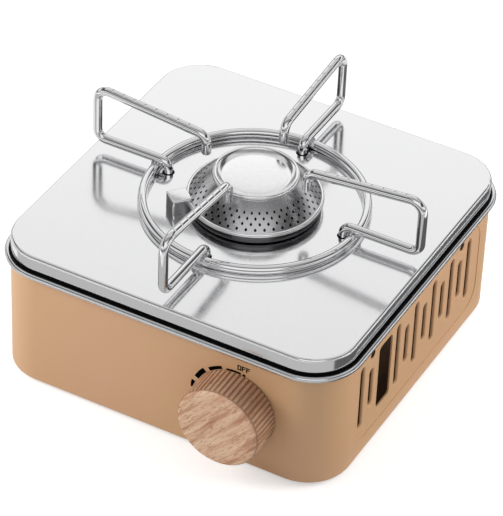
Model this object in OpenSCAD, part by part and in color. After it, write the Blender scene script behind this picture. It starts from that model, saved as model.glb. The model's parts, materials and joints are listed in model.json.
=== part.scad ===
// Compact butane cassette stove: a square body, a lift-off pot support and a turning knob.
// Frame: +X to the vented side, -Y to the knob side, +Z up.
// Origin: on the table under the centre of the burner.

/* [Body] */
// Outside width of the painted body
body_w = 213; // [210:1:240]
// Outside depth of the painted body
body_d = 213; // [208:1:250]
// Height of the body walls
body_h = 74.5; // [74:0.5:84]
// Radius of the upright corners
corner_r = 26.5; // [20:0.5:27]
// Thickness of the body sheet
body_t = 1; // [0.8:0.1:1.3]
// Radius of the bottom edge
hem_r = 2; // [1.5:0.5:5]
// Width of the flange under the body
flange_w = 12; // [11:0.5:14]
// Depth of the pressed side panels
press_t = 0.4; // [0.2:0.1:1]
// Length of the pressed side panels
press_w = 152; // [150:1:156]
// Thickness of the base plate
base_t = 1.2; // [1:0.1:1.8]

/* [Feet] */
// Diameter of a foot
foot_d = 16; // [10:1:18]
// Height of the body above the table
foot_h = 2; // [1.6:0.1:5]
// Distance of a foot's centre from the body's sides
foot_in = 35.5; // [35.5:0.5:46]

/* [Vents] */
// Width of a slot
slot_w = 4.6; // [3:0.1:6]
// Length of a long slot
slot_long = 42.5; // [34:0.5:44]
// Length of a short slot
slot_short = 26; // [18:0.5:30]
// Radius of the rolled edge round a slot
slot_edge = 1; // [0.6:0.1:1]
// Depth of a slot's turned-in lip behind the panel
slot_lip = 0.6; // [0.4:0.1:2]
// Distance between neighbouring slots
slot_pitch = 11.1; // [9:0.1:11.4]
// Width of the window
win_w = 16; // [9:0.5:20]
// Height of the window
win_h = 43.5; // [34:0.5:46]
// Distance from the window's centre to the slots beside it
win_gap = 16; // [14.4:0.1:16.4]
// Place of the first slot along the side
slot_first = -69; // [-70:0.5:-67]
// Distance of the vents' centre line below the rim
vent_drop = 32.2; // [30.5:0.1:34]

/* [Top plate] */
// Height of the plate above the body walls
plate_h = 13.7; // [11:0.1:18]
// Thickness of the plate
plate_t = 0.8; // [0.6:0.1:1.1]
// Radius of the plate's shoulder
shoulder_r = 1.6; // [1.2:0.1:4]
// Diameter of the rolled rim
bead_d = 2.9; // [2.2:0.1:3.3]
// How far the rim stands out past the body
bead_out = 3.5; // [3:0.1:4.5]
// Height of the neck between the rim and the plate
neck_h = 5.4; // [4.4:0.1:6]
// How far the neck stands back from the plate's side
neck_in = 2.4; // [1.6:0.1:3]

/* [Burner] */
// Diameter of the skirt at its rolled edge
skirt_d = 77.4; // [73:0.2:78]
// Height of the skirt's rolled edge above the plate
skirt_z = 6.3; // [5.4:0.1:6.8]
// Diameter of the lip on the cap
lip_d = 48; // [42:0.2:50]
// Height of the lip's centre above the plate
lip_z = 21.3; // [19:0.1:24]
// Diameter of the flat disc in the cap
disc_d = 38; // [33:0.2:38.4]
// Number of rows of flame ports
port_rows = 4; // [2:1:4]
// Number of flame ports in a row
port_count = 44; // [24:2:48]
// Diameter of a flame port
port_d = 1.4; // [0.8:0.1:1.6]
// Sheet thickness of the burner head
head_t = 0.7; // [0.5:0.1:0.9]
// Outside diameter of the burner stem
stem_d = 20; // [18:0.5:21]
// Outside diameter of the mixing tube
tube_d = 15; // [12:0.5:15]
// Height of the mixing tube above the canister's axis
tube_up = 12; // [9:0.5:13.5]

/* [Pot support] */
// Diameter of the wire
wire_d = 4.5; // [3.5:0.1:4.8]
// Diameter of the ring along its centre line
ring_d = 126.5; // [124:0.5:132]
// Height of the pot support above the plate
pot_h = 43.8; // [38:0.1:50]
// How much higher the outer end of an arm lies than its inner end
arm_rise = 7; // [0:0.5:9]
// Radius of the inner ends of the arms
arm_in = 32; // [30:0.5:36]
// Radius of the outer ends of the arms
arm_out = 103; // [97:0.5:108]
// Length of the inner leg of an arm
leg_len = 11.5; // [9:0.5:18]
// Radius of the holes' circle in the plate
hook_at = 56; // [55:0.1:56.4]
// Diameter of the holes for the hooks
hook_hole_d = 7; // [6.2:0.1:9]
// Length of a hook below the top of the plate
hook_len = 5.5; // [3.5:0.5:7]
// Number of notches in an arm
notch_count = 8; // [4:1:8]
// Distance between the notches
notch_pitch = 7.1; // [5:0.1:7.1]

/* [Knob] */
// Diameter of the knob
knob_d = 50; // [44:0.5:54]
// Thickness of the knob
knob_h = 20; // [18:0.5:26]
// Distance from the burner's axis to the near side of the canister
can_off = 14.75; // [14.75:0.25:16.5]
// Number of flutes
flute_count = 54; // [36:2:60]
// Depth of a flute
flute_t = 0.5; // [0.3:0.1:0.7]
// Diameter of the valve spindle
spindle_d = 6; // [5:0.5:7]
// How far the knob opens the valve, in degrees
turn = 110; // [90:5:120]

/* [Gas and spark] */
// Diameter of the canister that fits
can_d = 67.5; // [66:0.5:68]
// Diameter of the canister collar that the socket takes
collar_d = 36; // [33:0.5:38]
// Depth of the socket
socket_h = 6; // [4:0.5:8]
// Diameter of the regulator block
reg_d = 44; // [42:0.5:44]
// Length of the regulator block
reg_h = 20; // [19:0.5:21]
// Stroke of the piezo plunger
stroke = 5; // [4:0.5:5]
// Angle of the igniter round the burner
spark_a = 219; // [214:1:224]
// Distance of the electrode from the burner's axis
spark_r = 43; // [42.6:0.1:44]

/* [Hidden] */
$fn = 48;
slack = 0.3;
fit = 0.05;

// Levels above the table
body_z = foot_h;
base_z = body_z + body_t;
floor_z = base_z + base_t;
rim_z = body_z + body_h;
plate_z = rim_z + plate_h;

// Body
inner_x = body_w / 2 - body_t;
front_y = -body_d / 2;
back_y = body_d / 2;
press_r = 13;
press_low = 11;
press_edge = 4;
vent_level = rim_z - vent_drop;
press_top = body_h - press_edge;
press_inner = inner_x - press_t;
corner_x = body_w / 2 - corner_r;
corner_y = body_d / 2 - corner_r;
base_inset = hem_r + slack;
base_screw_r = corner_r - 8;
screw_d = 3;
side_screw_y = [-58, 52];
side_screw_z = rim_z - 8.5;
side_head_d = 5;
side_head_h = 0.8;
side_screw_len = 5;
strip_t = 1.2;
strip_w = 6.5;
strip_out = 8;
tab_w = 10;
ledge_w = 4;
shelf_w = 14;
head_d = 6;
head_h = 1.2;
foot_edge = 1;
foot_pin_d = 5;
foot_x = body_w / 2 - foot_in;
foot_y = body_d / 2 - foot_in;

// Burner, measured from the plate
edge_d = 2.2;
edge_r = (skirt_d - edge_d) / 2;
lip_t = 2.6;
lip_r = (lip_d - lip_t) / 2;
ledge_z = lip_z - lip_t / 2;
skirt_low_r = edge_r + edge_d / 4;
skirt_low_z = skirt_z + edge_d / 4;
skirt_top_r = lip_r + 1;
skirt_slope = atan2(ledge_z - skirt_low_z, skirt_low_r - skirt_top_r);
cup_r = edge_r - 0.5;
cup_z = 1;
cup_t = 0.8;
stem_bend = 16;
stem_wall = 2.5;
stem_flange_r = stem_d / 2 + 6;
stem_screw_r = stem_d / 2 + 3;
burner_hole_r = stem_d / 2 + 0.4;

// Canister bay
can_r = can_d / 2;
knob_x = can_off + can_r;
port_r = can_r + 0.5;
port_t = 1.1;
axis_z = floor_z + port_r + port_t + 0.45;
reg_back = front_y + 30.5;
reg_front = reg_back - reg_h;
socket_back = reg_back + socket_h;
socket_r = collar_d / 2 + 9;
magnet_d = 6;
shield_x = knob_x - can_r - 2.5;
shield_t = 0.8;
shield_top = axis_z + can_r + 2.5;
shield_front = socket_back + 1;
shield_back = back_y - 17;
cradle_y = -20;
cradle_w = 12;
cradle_t = 1.5;

// Knob and valve
knob_gap = 0.8;
knob_y = front_y - knob_gap;
edge_round = 2.5;
insert_d = 10;
insert_from = 3;
insert_len = 12;
valve_boss_d = 18;
valve_boss_len = 1.5;
spindle_in = 12;
cam_low = 8;
cam_front = front_y + body_t + 3;
cam_len = 4;
bush_r = 7;

// Piezo igniter
piezo_y = cam_front + cam_len / 2;
piezo_d = 8;
plunger_d = 4;
tip_d = 3;
plunger_tip = knob_x - cam_low - 0.4;
plunger_len = 18;
piezo_right = plunger_tip - stroke - 1.1;
piezo_len = 26;
piezo_left = piezo_right - piezo_len;
spark_x = spark_r * cos(spark_a);
spark_y = spark_r * sin(spark_a);
ceramic_d = 5;
ceramic_low = plate_z - 18;
ceramic_top = plate_z + 4;
box_in = skirt_d / 2 - 1.2;
box_wall_in = skirt_d / 2 + 2;
box_out = spark_r + 5.8;
box_w = 12.5;
box_t = 0.8;
box_top = plate_z + 9.1;
lead_d = 2.4;

// Gas path
jet_y = reg_back - 10;
tube_level = axis_z + tube_up;
tube_bend = 15;
tube_wall = 1;
tube_mouth = knob_x - reg_d / 2 - 4;
jet_d = 7;
jet_tip_d = 4;
jet_boss_d = 14;
reg_screw_d = 4;
reg_screw_len = 7;
reg_head_h = 1.8;

// Pot support
wire_r = wire_d / 2;
ring_z = plate_z + slack + wire_r;
low_z = ring_z + wire_d + 0.1;
top_z = plate_z + pot_h - wire_r;
bend_in = 5.5;
bend_out = 6.5;
bend_low = 4.5;
bend_hook = 4.4;
hook_end = plate_z - hook_len;
end_h = 0.6;

// The top wire climbs from the corner over its inner leg to the corner over its outer leg
arm_slope = atan2(arm_rise, arm_out - arm_in);
in_len = bend_in * tan(45 - arm_slope / 2);
out_len = bend_out * tan(45 + arm_slope / 2);
out_z = top_z - bend_out + out_len;
in_z = out_z - arm_rise;
top_len = (arm_out - arm_in) / cos(arm_slope) - in_len - out_len;
// Straight wire runs this far over a bend's end, and the bend is this much thinner
lap = 0.15;
draw = 0.02;

// The lead's route: out of the piezo, past the mixing tube and up to the electrode
lead_sides = 8;
lead_steps = 3;
lead_points = [
    [piezo_left, piezo_y, axis_z],
    [piezo_left - 9, piezo_y, axis_z],
    [-20, front_y + 10, axis_z],
    [-34, front_y + 26, axis_z + 3],
    [-38, front_y + 46, tube_level],
    [spark_x - 2, spark_y - 10, ceramic_low - 16],
    [spark_x, spark_y, ceramic_low - 8],
    [spark_x, spark_y, ceramic_low]
];

// A rounded rectangle centred on the origin
module round_rect(w, d, r) {
    square([w - 2 * r, d], center = true);
    square([w, d - 2 * r], center = true);
    for (x = [-1, 1], y = [-1, 1]) {
        translate([x * (w / 2 - r), y * (d / 2 - r)]) circle(r = r);
    }
}

// Sweeps a profile round the body's outline: profile x is outward from it, profile y is up
module sweep() {
    for (i = [0:3]) {
        x = (i == 0 || i == 3) ? corner_x : -corner_x;
        y = i < 2 ? corner_y : -corner_y;
        translate([x, y, 0]) rotate([0, 0, 90 * i]) rotate_extrude(angle = 90)
            translate([corner_r, 0]) children();
    }
    for (a = [0, 180]) {
        rotate([0, 0, a]) translate([body_w / 2, 0, 0]) rotate([90, 0, 0])
            linear_extrude(height = 2 * corner_y, center = true) children();
    }
    for (a = [90, 270]) {
        rotate([0, 0, a]) translate([body_d / 2, 0, 0]) rotate([90, 0, 0])
            linear_extrude(height = 2 * corner_x, center = true) children();
    }
}

// A quarter of a ring, from angle a on
module quarter_ring(r, t, a) {
    rotate([0, 0, a]) intersection() {
        difference() {
            circle(r = r);
            circle(r = r - t);
        }
        square([r + 1, r + 1]);
    }
}

// Places children on an axis along Y, with their +Z towards the front
module facing_front(x, y, z) {
    translate([x, y, z]) rotate([90, 0, 0]) children();
}

// A cylinder along Y between two places
module rod_y(x, z, y0, y1, r) {
    facing_front(x, y1, z) cylinder(h = y1 - y0, r = r);
}

// A cylinder along X between two places
module rod_x(y, z, x0, x1, r) {
    translate([x0, y, z]) rotate([0, 90, 0]) cylinder(h = x1 - x0, r = r);
}

// Body ---------------------------------------------------------------------

module body_profile() {
    translate([-body_t, hem_r]) square([body_t, body_h - hem_r]);
    translate([-hem_r, hem_r]) quarter_ring(hem_r, body_t, 270);
    translate([-flange_w, 0]) square([flange_w - hem_r, body_t]);
}

module press_outline() {
    h = press_top - press_low;
    translate([0, body_z + press_low + h / 2]) round_rect(press_w, h, press_r);
}

// A flat shape in the Y-Z plane, made thick from x0 to x1
module side_slab(x0, x1) {
    translate([x0, 0, 0]) rotate([90, 0, 90]) linear_extrude(height = x1 - x0) children();
}

// A round-ended slot, widened all round by grow
module slot_shape(len, grow = 0) {
    square([slot_w + 2 * grow, len - slot_w], center = true);
    for (s = [-1, 1]) {
        translate([0, s * (len - slot_w) / 2]) circle(r = slot_w / 2 + grow);
    }
}

// Long and short slots by turns, two before the window and nine after it
win_y = slot_first + slot_pitch + win_gap;
slots = concat(
    [[slot_first, slot_long], [slot_first + slot_pitch, slot_short]],
    [for (i = [0:8]) [win_y + win_gap + i * slot_pitch, i % 2 == 0 ? slot_long : slot_short]]
);

module vents(grow = 0) {
    for (s = slots) {
        translate([s[0], vent_level]) slot_shape(s[1], grow);
    }
}

module window() {
    translate([win_y, vent_level]) round_rect(win_w, win_h, 3);
}

// Half of a slot's mouth in section: x is out from its middle, y is in from the panel's face
module mouth_section() {
    r = slot_w / 2;
    e = slot_edge;
    polygon([
        [0, -1], [r + e, -1], [r + e, 0], [r + e * (1 - sin(30)), e * (1 - cos(30))],
        [r + e * (1 - sin(60)), e * (1 - cos(60))], [r, e], [0, e]
    ]);
}

// The rolled mouths of the slots, to be cut from the panel's face
module slot_mouths() {
    for (s = slots) {
        h = s[1] - slot_w;
        translate([press_inner + body_t, s[0], vent_level]) {
            for (m = [0, 1]) {
                mirror([0, m, 0]) rotate([0, 0, 90]) linear_extrude(height = h, center = true)
                    mouth_section();
            }
            for (t = [-1, 1]) {
                translate([0, 0, t * h / 2]) rotate([0, -90, 0])
                    rotate_extrude() mouth_section();
            }
        }
    }
}

module side_screw_places() {
    for (s = [-1, 1], y = side_screw_y) {
        translate([s * press_inner, y, side_screw_z]) rotate([0, s * 90, 0]) children();
    }
}

module base_screw_places() {
    for (x = [-1, 1], y = [-1, 1]) {
        k = base_screw_r * cos(45);
        translate([x * (corner_x + k), y * (corner_y + k), body_z]) children();
    }
}

module body_shell() {
    color([0.76, 0.6, 0.45]) difference() {
        union() {
            translate([0, 0, body_z]) sweep() body_profile();
            for (a = [0, 180]) {
                rotate([0, 0, a]) side_slab(press_inner, inner_x + body_t / 2) press_outline();
            }
            side_slab(press_inner - slot_lip, press_inner + body_t / 2) vents(slot_edge);
        }
        for (a = [0, 180]) {
            rotate([0, 0, a]) side_slab(press_inner + body_t, body_w / 2 + 1) press_outline();
        }
        side_slab(press_inner - slot_lip - 1, body_w / 2 + 1) vents();
        side_slab(press_inner - 1, body_w / 2 + 1) window();
        slot_mouths();
        side_screw_places() cylinder(h = 6, d = side_head_d + 0.4, center = true);
        base_screw_places() cylinder(h = 6, d = screw_d + 0.4, center = true);
        rod_y(knob_x, axis_z, front_y - 1, front_y + body_t + 1, bush_r + fit);
        rod_y(knob_x, axis_z, back_y - corner_r, back_y + 1, port_r + port_t + fit);
    }
}

module base_plate() {
    color([0.62, 0.63, 0.64]) difference() {
        translate([0, 0, base_z]) linear_extrude(height = base_t)
            round_rect(body_w - 2 * base_inset, body_d - 2 * base_inset, corner_r - base_inset);
        base_screw_places() cylinder(h = 12, d = screw_d + fit, center = true);
        for (i = [0:6]) {
            translate([-62, (i - 3) * 12, base_z - 1]) linear_extrude(height = base_t + 2)
                rotate([0, 0, 90]) slot_shape(36);
        }
        foot_places() translate([0, 0, base_z - 1]) cylinder(h = base_t + 2, d = foot_pin_d + fit);
    }
}

module base_screws() {
    color([0.7, 0.7, 0.72]) base_screw_places() {
        translate([0, 0, -head_h]) cylinder(h = head_h, d = head_d);
        translate([0, 0, -head_h / 2]) cylinder(h = body_t + base_t + 2, d = screw_d);
    }
}

module foot_places() {
    for (x = [-1, 1], y = [-1, 1]) {
        translate([x * foot_x, y * foot_y, 0]) children();
    }
}

module foot(x, y) {
    color([0.12, 0.12, 0.12]) translate([x * foot_x, y * foot_y, 0]) {
        cylinder(h = foot_edge, d1 = foot_d - 2 * foot_edge, d2 = foot_d);
        translate([0, 0, foot_edge]) cylinder(h = base_z - foot_edge, d = foot_d);
        translate([0, 0, foot_edge]) cylinder(h = floor_z, d = foot_pin_d);
        translate([0, 0, floor_z]) cylinder(h = foot_edge, d = foot_pin_d + 3);
    }
}

// Top plate ----------------------------------------------------------------

module rim_profile() {
    bead_x = bead_out - bead_d / 2;
    translate([-neck_in - plate_t, 0]) square([neck_in + plate_t + bead_x, plate_t]);
    translate([-neck_in - plate_t, 0]) square([plate_t, neck_h]);
    translate([bead_x, bead_d / 2]) circle(d = bead_d);
}

module rim_frame() {
    color([0.82, 0.82, 0.83]) translate([0, 0, rim_z]) sweep() rim_profile();
}

module plate_profile() {
    translate([-neck_in - 2 * plate_t, neck_h]) square([neck_in + 2 * plate_t, plate_t]);
    translate([-plate_t, neck_h]) square([plate_t, plate_h - shoulder_r - neck_h]);
    translate([-shoulder_r, plate_h - shoulder_r]) quarter_ring(shoulder_r, plate_t, 0);
    translate([-shoulder_r - 4, plate_h - plate_t]) square([4, plate_t]);
}

module top_plate() {
    inset = shoulder_r + 3;
    color([0.86, 0.86, 0.86]) difference() {
        union() {
            translate([0, 0, rim_z]) sweep() plate_profile();
            translate([0, 0, plate_z - plate_t]) linear_extrude(height = plate_t)
                round_rect(body_w - 2 * inset, body_d - 2 * inset, corner_r - inset);
        }
        translate([0, 0, plate_z]) cylinder(h = 4, r = burner_hole_r, center = true);
        for (a = [0:90:270]) {
            rotate([0, 0, a]) translate([hook_at, 0, plate_z])
                cylinder(h = 4, d = hook_hole_d, center = true);
        }
        translate([spark_x, spark_y, plate_z]) cylinder(h = 4, d = ceramic_d + 0.6, center = true);
        stem_screw_places() cylinder(h = 6, d = screw_d + 0.4, center = true);
    }
}

// The bracket's strip and tabs stand on the pressed panel and its top carries the plate
module bracket(side) {
    leg_t = strip_t;
    leg_x = press_inner - leg_t;
    leg_low = rim_z - strip_w;
    leg_top = plate_z - plate_t;
    tab_low = side_screw_z - tab_w / 2 + fit;
    y0 = side_screw_y[0] - strip_out;
    len = side_screw_y[1] + strip_out - y0;
    color([0.6, 0.61, 0.62]) difference() {
        mirror([side < 0 ? 1 : 0, 0, 0]) {
            translate([leg_x, y0, leg_low]) cube([leg_t, len, rim_z - leg_low]);
            for (y = side_screw_y) {
                translate([leg_x, y - tab_w / 2, tab_low])
                    cube([leg_t, tab_w, leg_low - tab_low + fit]);
            }
            translate([leg_x - ledge_w, y0, rim_z - leg_t]) cube([ledge_w + leg_t, len, leg_t]);
            translate([leg_x - ledge_w, y0, rim_z - leg_t])
                cube([leg_t, len, leg_top - rim_z + leg_t]);
            translate([leg_x + leg_t - ledge_w - shelf_w, y0, leg_top - leg_t])
                cube([shelf_w, len, leg_t]);
        }
        side_screw_places() cylinder(h = 2 * side_screw_len, d = screw_d + fit, center = true);
    }
}

module side_screws() {
    color([0.35, 0.28, 0.22]) side_screw_places() {
        cylinder(h = side_head_h, d = side_head_d);
        translate([0, 0, -side_screw_len]) cylinder(h = side_screw_len + side_head_h / 2, d = screw_d);
    }
}

// Burner -------------------------------------------------------------------

module stem_screw_places() {
    for (a = [0, 180]) {
        rotate([0, 0, a]) translate([0, stem_screw_r, plate_z]) children();
    }
}

module burner_cap() {
    collar_r = lip_r - 0.4;
    dish_z = lip_z - lip_t / 2 + 0.4;
    color([0.9, 0.9, 0.9]) translate([0, 0, plate_z]) rotate_extrude() {
        polygon([
            [0, dish_z], [disc_d / 2, dish_z], [lip_r, lip_z - lip_t / 4],
            [lip_r, lip_z + lip_t / 3], [disc_d / 2, dish_z + head_t], [0, dish_z + head_t]
        ]);
        translate([lip_r, lip_z]) circle(d = lip_t);
        translate([collar_r - head_t, ledge_z - 3]) square([head_t, lip_z - ledge_z + 3]);
    }
}

// The ports stand square to the cone, every other row shifted by half a step
module port_holes() {
    first = 0.13;
    last = 0.68;
    for (row = [0:port_rows - 1]) {
        k = first + (last - first) * row / (port_rows - 1);
        r = skirt_low_r + (skirt_top_r - skirt_low_r) * k;
        z = skirt_low_z + (ledge_z - skirt_low_z) * k;
        for (i = [0:port_count - 1]) {
            rotate([0, 0, (i + (row % 2) / 2) * 360 / port_count]) translate([r, 0, z])
                rotate([0, 90 - skirt_slope, 0]) cylinder(h = 4, d = port_d, center = true, $fn = 16);
        }
    }
}

module burner_skirt() {
    dx = head_t / sin(skirt_slope);
    color([0.72, 0.72, 0.73]) translate([0, 0, plate_z]) difference() {
        rotate_extrude() {
            polygon([
                [skirt_low_r - dx, skirt_low_z], [skirt_low_r, skirt_low_z],
                [skirt_top_r, ledge_z], [lip_r - 0.3, ledge_z],
                [lip_r - 0.3, ledge_z - head_t], [skirt_top_r - dx / 2, ledge_z - head_t]
            ]);
            translate([edge_r, skirt_z]) circle(d = edge_d);
        }
        port_holes();
    }
}

module burner_cup() {
    cup_top = skirt_z - edge_d / 2;
    color([0.5, 0.5, 0.52]) translate([0, 0, plate_z]) difference() {
        rotate_extrude() {
            translate([cup_r - cup_t, cup_z]) square([cup_t, cup_top - cup_z]);
            translate([burner_hole_r - 0.3, cup_z])
                square([cup_r - burner_hole_r + 0.3, cup_t]);
            translate([cup_r - 0.4, cup_z + 0.6]) circle(d = 1.8);
        }
        for (y = [-1, 1]) {
            translate([0, y * stem_screw_r, 0]) cylinder(h = 8, d = screw_d + 0.4);
        }
    }
}

// Stem, elbow and socket, solid for the outside and the bore alike
module stem_path(r, over) {
    top = plate_z + cup_z + cup_t + 2 + over;
    bend_z = tube_level + stem_bend;
    translate([0, 0, bend_z]) cylinder(h = top - bend_z, r = r);
    translate([0, -stem_bend, bend_z]) rotate([0, 0, 90]) rotate([90, 0, 0]) rotate([0, 0, 270])
        rotate_extrude(angle = 90) translate([stem_bend, 0]) circle(r = r);
    rod_y(0, tube_level, -stem_bend - 8 - over, -stem_bend, r);
}

module burner_stem() {
    color([0.66, 0.67, 0.68]) difference() {
        union() {
            stem_path(stem_d / 2, 0);
            translate([0, 0, plate_z]) cylinder(h = cup_z, r = stem_flange_r);
        }
        stem_path(stem_d / 2 - stem_wall, 1);
        stem_screw_places() cylinder(h = 8, d = screw_d + fit, center = true);
    }
}

module burner_screws() {
    color([0.7, 0.7, 0.72]) stem_screw_places() {
        translate([0, 0, cup_z + cup_t]) cylinder(h = 1.6, d = 5.4);
        translate([0, 0, -4]) cylinder(h = cup_z + cup_t + 4.5, d = screw_d);
    }
}

module tube_path(r, over) {
    rod_y(0, tube_level, jet_y + tube_bend, -stem_bend - 1 + over, r);
    translate([tube_bend, jet_y + tube_bend, tube_level]) rotate([0, 0, 180])
        rotate_extrude(angle = 90) translate([tube_bend, 0]) circle(r = r);
    rod_x(jet_y, tube_level, tube_bend, tube_mouth + over, r);
}

module mixing_tube() {
    air_x = tube_mouth - 5;
    color([0.78, 0.78, 0.79]) difference() {
        tube_path(tube_d / 2 - fit, 0);
        tube_path(tube_d / 2 - tube_wall, 1);
        translate([air_x, jet_y, tube_level]) cube([4, tube_d + 2, 6], center = true);
    }
}

module gas_jet() {
    boss_x = knob_x - reg_d / 2 - 1;
    color([0.8, 0.66, 0.3]) difference() {
        union() {
            rod_x(jet_y, tube_level, boss_x - 3, boss_x, jet_d / 2);
            rod_x(jet_y, tube_level, boss_x - 7, boss_x - 2, jet_tip_d / 2);
        }
        rod_x(jet_y, tube_level, boss_x - 8, boss_x + 1, 0.5);
    }
}

// Regulator and canister bay -----------------------------------------------

module regulator_body() {
    boss_x = knob_x - reg_d / 2 - 1;
    color([0.7, 0.71, 0.72]) difference() {
        union() {
            rod_y(knob_x, axis_z, reg_front, reg_back, reg_d / 2);
            rod_y(knob_x, axis_z, reg_front - valve_boss_len, reg_front + 1, valve_boss_d / 2);
            rod_x(jet_y, tube_level, boss_x, knob_x - reg_h / 2, jet_boss_d / 2);
        }
        rod_y(knob_x, axis_z, reg_front - 5, reg_front + spindle_in, spindle_d / 2 + fit);
        rod_y(knob_x, axis_z, reg_back - 5, reg_back + 1, 3);
        reg_screw_places() rod_y(0, 0, -1, reg_screw_len + 1, reg_screw_d / 2);
    }
}

module diaphragm_cover() {
    cover_z = axis_z + reg_d / 2 - 1;
    cover_y = reg_back - reg_h / 2;
    color([0.6, 0.61, 0.63]) difference() {
        union() {
            translate([knob_x, cover_y, cover_z]) cylinder(h = 4.5, r = reg_h / 2 - 0.5);
            translate([knob_x, cover_y, cover_z + 4.5]) cylinder(h = 2, r = reg_h / 2 - 3);
        }
        rod_y(knob_x, axis_z, reg_front - 5, reg_back + 5, reg_d / 2);
    }
}

module reg_screw_places() {
    r = reg_d / 2 - 4.5;
    for (a = [35, 145, 325]) {
        translate([knob_x + r * cos(a), reg_front, axis_z + r * sin(a)]) children();
    }
}

module regulator_bracket() {
    bracket_t = strip_t;
    width = reg_d - 4;
    left = knob_x - width / 2;
    top = axis_z + reg_d / 2 - 8;
    color([0.6, 0.61, 0.62]) difference() {
        union() {
            translate([left, reg_front - bracket_t, floor_z]) cube([width, bracket_t, top - floor_z]);
            translate([left, reg_front - bracket_t, floor_z]) cube([width, reg_h, bracket_t]);
        }
        rod_y(knob_x, axis_z, reg_front - 5, reg_front + 5, valve_boss_d / 2 + 0.2);
        reg_screw_places() rod_y(0, 0, -3, 3, reg_screw_d / 2);
        translate([left - 1, reg_front - bracket_t - 1, axis_z - piezo_d / 2 - 0.5])
            cube([piezo_right + 2 - left, bracket_t + 2, piezo_d + 1]);
    }
}

module regulator_screws() {
    color([0.7, 0.7, 0.72]) reg_screw_places() {
        rod_y(0, 0, -strip_t - reg_head_h, -strip_t, reg_screw_d / 2 + 1);
        rod_y(0, 0, -strip_t - reg_head_h / 2, reg_screw_len, reg_screw_d / 2 - fit);
    }
}

module inlet_nozzle() {
    color([0.8, 0.66, 0.3]) difference() {
        rod_y(knob_x, axis_z, reg_back - 5, reg_back, 3 - fit);
        rod_y(knob_x, axis_z, reg_back - 4, reg_back + 1, 1);
    }
}

module magnet_places() {
    for (a = [45:90:315]) {
        r = collar_d / 2 + 4.5;
        translate([knob_x + r * cos(a), socket_back, axis_z + r * sin(a)]) children();
    }
}

module canister_socket() {
    color([0.75, 0.75, 0.76]) difference() {
        rod_y(knob_x, axis_z, reg_back, socket_back, socket_r);
        rod_y(knob_x, axis_z, reg_back - 1, socket_back + 1, collar_d / 2);
        magnet_places() rod_y(0, 0, -3, 1, magnet_d / 2);
    }
}

module socket_magnets() {
    color([0.55, 0.55, 0.58]) magnet_places() rod_y(0, 0, -3, 0, magnet_d / 2 - fit);
}

module heat_shield() {
    len = shield_back - shield_front;
    right = knob_x + can_r + 4;
    color([0.8, 0.8, 0.8]) translate([0, shield_front, 0]) {
        translate([shield_x, 0, floor_z]) cube([shield_t, len, shield_top + shield_t - floor_z]);
        translate([shield_x, 0, shield_top]) cube([right - shield_x, len, shield_t]);
        translate([shield_x - 8, 0, floor_z]) cube([8 + shield_t, len, shield_t]);
    }
}

// A saddle bent from strip, with a leg at each end
module canister_cradle() {
    leg_x = can_r * 0.6;
    r = port_r + cradle_t;
    leg_top = axis_z - sqrt(r * r - leg_x * leg_x);
    color([0.6, 0.61, 0.62]) translate([knob_x, cradle_y, 0]) {
        difference() {
            intersection() {
                rod_y(0, axis_z, 0, cradle_w, r);
                translate([-leg_x, 0, floor_z]) cube([2 * leg_x, cradle_w, axis_z - floor_z]);
            }
            rod_y(0, axis_z, -1, cradle_w + 1, port_r);
        }
        for (s = [-1, 1]) {
            translate([s * (leg_x - cradle_t / 2) - cradle_t / 2, 0, floor_z])
                cube([cradle_t, cradle_w, leg_top - floor_z]);
        }
    }
}

module port_ring() {
    color([0.2, 0.2, 0.2]) difference() {
        rod_y(knob_x, axis_z, back_y - 15, back_y + 1.5, port_r + port_t);
        rod_y(knob_x, axis_z, back_y - 16, back_y + 3, port_r);
    }
}

// Knob, valve and piezo igniter --------------------------------------------

module flute_outline() {
    r = knob_d / 2;
    groove_r = 0.9;
    difference() {
        circle(r = r);
        for (i = [0:flute_count - 1]) {
            rotate([0, 0, (i + 0.5) * 360 / flute_count])
                translate([r + groove_r - flute_t, 0]) circle(r = groove_r, $fn = 16);
        }
    }
}

// The knob's outline in section: its front edge is rounded in three cones
function knob_edge(r) =
    let (e = edge_round, z = knob_h - e, in = e * (1 - cos(30)), up = e * sin(30))
    [
        [0, 0], [r + in, 0], [r + in, z - up], [r - in, z + up],
        [r - e * (1 - cos(60)), z + e * sin(60)], [r - e, knob_h], [0, knob_h]
    ];

module knob() {
    r = knob_d / 2;
    color([0.85, 0.68, 0.53]) facing_front(knob_x, knob_y, axis_z) difference() {
        intersection() {
            linear_extrude(height = knob_h) flute_outline();
            rotate_extrude() polygon(knob_edge(r));
        }
        translate([0, 0, -1]) cylinder(h = insert_from + 1, r = r - 5);
        cylinder(h = insert_from + insert_len, d = insert_d);
    }
}

module knob_insert() {
    color([0.8, 0.66, 0.3]) facing_front(knob_x, knob_y, axis_z) difference() {
        translate([0, 0, insert_from - 1.5]) cylinder(h = insert_len + 1.5, d = insert_d - fit);
        translate([0, 0, -1]) cylinder(h = insert_from + insert_len - 1, r = spindle_d / 2 + fit);
    }
}

// The cam's radius rises evenly over the knob's turn, on the side that meets the plunger
function cam_radius(a) = a < 60 ? cam_low - 2
    : a < 180 - turn ? cam_low + stroke
    : a <= 180 ? cam_low + stroke * (180 - a) / turn
    : a <= 200 ? cam_low : cam_low - 2;

module cam() {
    step = 5;
    points = [for (a = [0:step:360 - step]) cam_radius(a) * [cos(a), sin(a)]];
    facing_front(knob_x, cam_front + cam_len, axis_z)
        linear_extrude(height = cam_len) polygon(points);
}

module valve_spindle() {
    inner = reg_front + spindle_in - 1;
    color([0.78, 0.7, 0.45]) {
        rod_y(knob_x, axis_z, knob_y - insert_from - insert_len + 2, inner, spindle_d / 2);
        cam();
    }
}

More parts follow.
